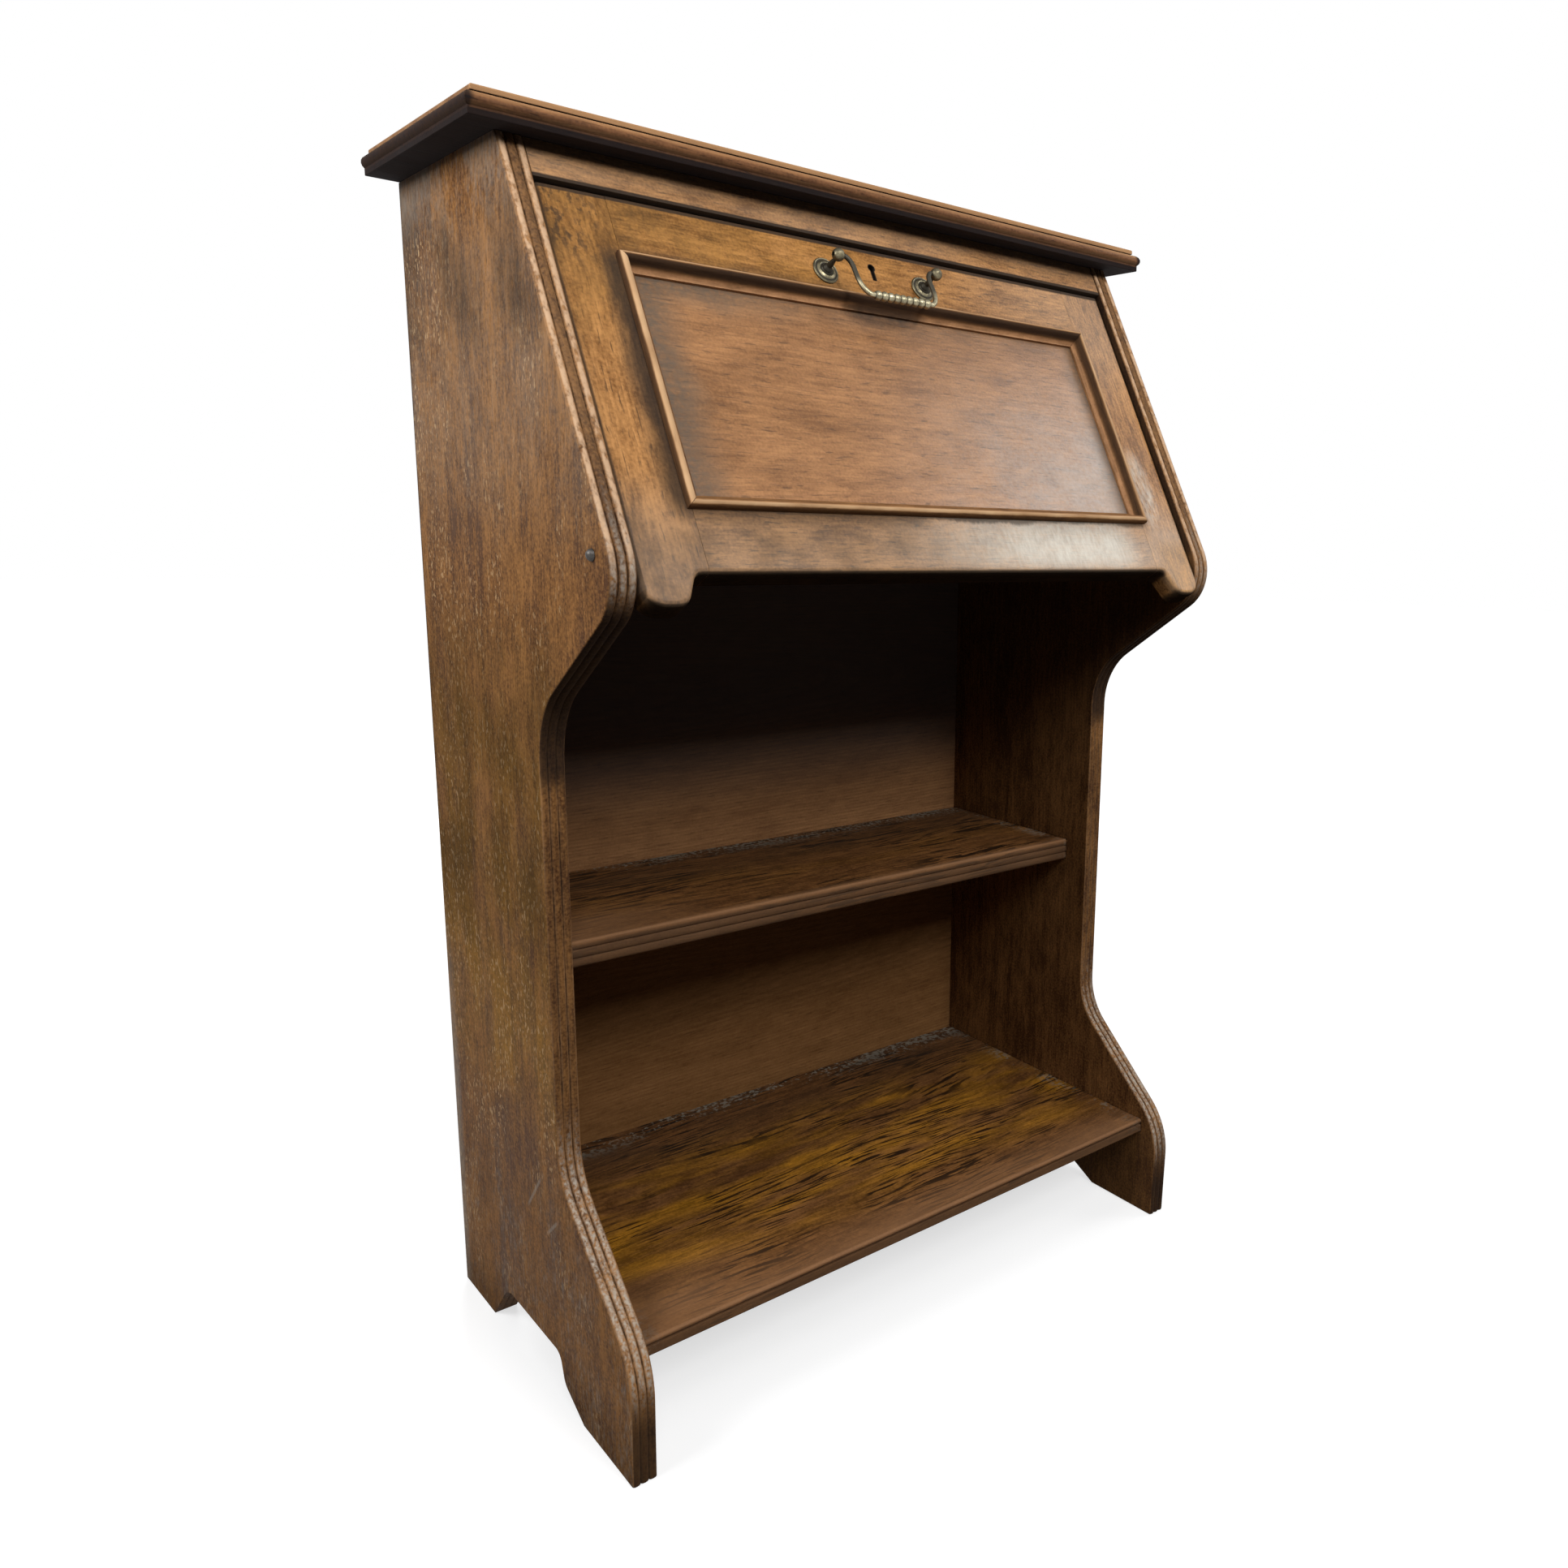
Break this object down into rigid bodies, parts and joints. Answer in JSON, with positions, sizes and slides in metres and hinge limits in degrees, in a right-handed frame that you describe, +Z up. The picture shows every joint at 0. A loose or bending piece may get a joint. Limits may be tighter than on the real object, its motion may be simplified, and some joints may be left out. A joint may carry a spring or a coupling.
{
  "type": "writing bureau",
  "caption": "Oak student's bureau: sloping panelled fall on side pivots opens as a writing flap, swan-neck handle and lock, shaped reeded sides, open bookshelves below.",
  "frame": {"origin": "on the floor, in the middle of the bureau's width and depth", "axes": "+Z up, the front faces -Y, +X to the right of someone standing in front of it"},
  "size_m": [0.7028, 0.3906, 1.0558],
  "materials": {
    "oak_carcase": "dark stained and waxed oak, worn pale on the reeds",
    "oak_fall": "polished golden brown oak, dirt along the moulding",
    "oak_shelves": "golden brown oak with dark streaks",
    "oak_interior": "dark stained oak, dull",
    "brass_fittings": "aged, dull brass",
    "iron_pins": "dull iron"
  },
  "bodies": {
    "carcase": {"left_side": "oak_carcase", "right_side": "oak_carcase", "top_board": "oak_carcase", "frieze_rail": "oak_carcase", "fall_stop_strip": "oak_interior", "top_block_left": "oak_interior", "top_block_right": "oak_interior", "bureau_floor": "oak_interior", "middle_shelf": "oak_shelves", "bottom_shelf": "oak_shelves", "back_board_upper": "oak_interior", "back_board_middle": "oak_interior", "back_board_lower": "oak_interior", "pigeonhole_shelf": "oak_interior", "pigeonhole_divider_1": "oak_interior", "pigeonhole_divider_2": "oak_interior", "pigeonhole_divider_3": "oak_interior", "pivot_pin_left": "iron_pins", "pivot_pin_right": "iron_pins", "lock_keeper": "brass_fittings"},
    "fall": {"fall_left_stile": "oak_fall", "fall_right_stile": "oak_fall", "fall_top_rail": "oak_fall", "fall_bottom_rail": "oak_fall", "fall_panel": "oak_fall", "panel_moulding_top": "oak_fall", "panel_moulding_bottom": "oak_fall", "panel_moulding_left": "oak_fall", "panel_moulding_right": "oak_fall", "handle_rose_left": "brass_fittings", "handle_rose_right": "brass_fittings", "handle_post_left": "brass_fittings", "handle_post_right": "brass_fittings", "handle_nut_left": "brass_fittings", "handle_nut_right": "brass_fittings", "lock_case": "brass_fittings"},
    "bail": {"handle_bail": "brass_fittings"},
    "bolt": {"lock_bolt": "brass_fittings"}
  },
  "joints": [
    {"name": "fall_hinge", "type": "hinge", "parent": "carcase", "child": "fall", "pos_m": [0, -0.16069, 0.73475], "axis": [1, 0, 0], "range_deg": [0, 118.68]},
    {"name": "bail_hinge", "type": "hinge", "parent": "fall", "child": "bail", "pos_m": [0, -0.0675, 0.98469], "axis": [-1, 0, 0], "range_deg": [0, 100]},
    {"name": "bolt_slide", "type": "slide", "parent": "fall", "child": "bolt", "axis": [0, 0.4799, 0.8773], "range_m": [0, 0.009]}
  ]
}
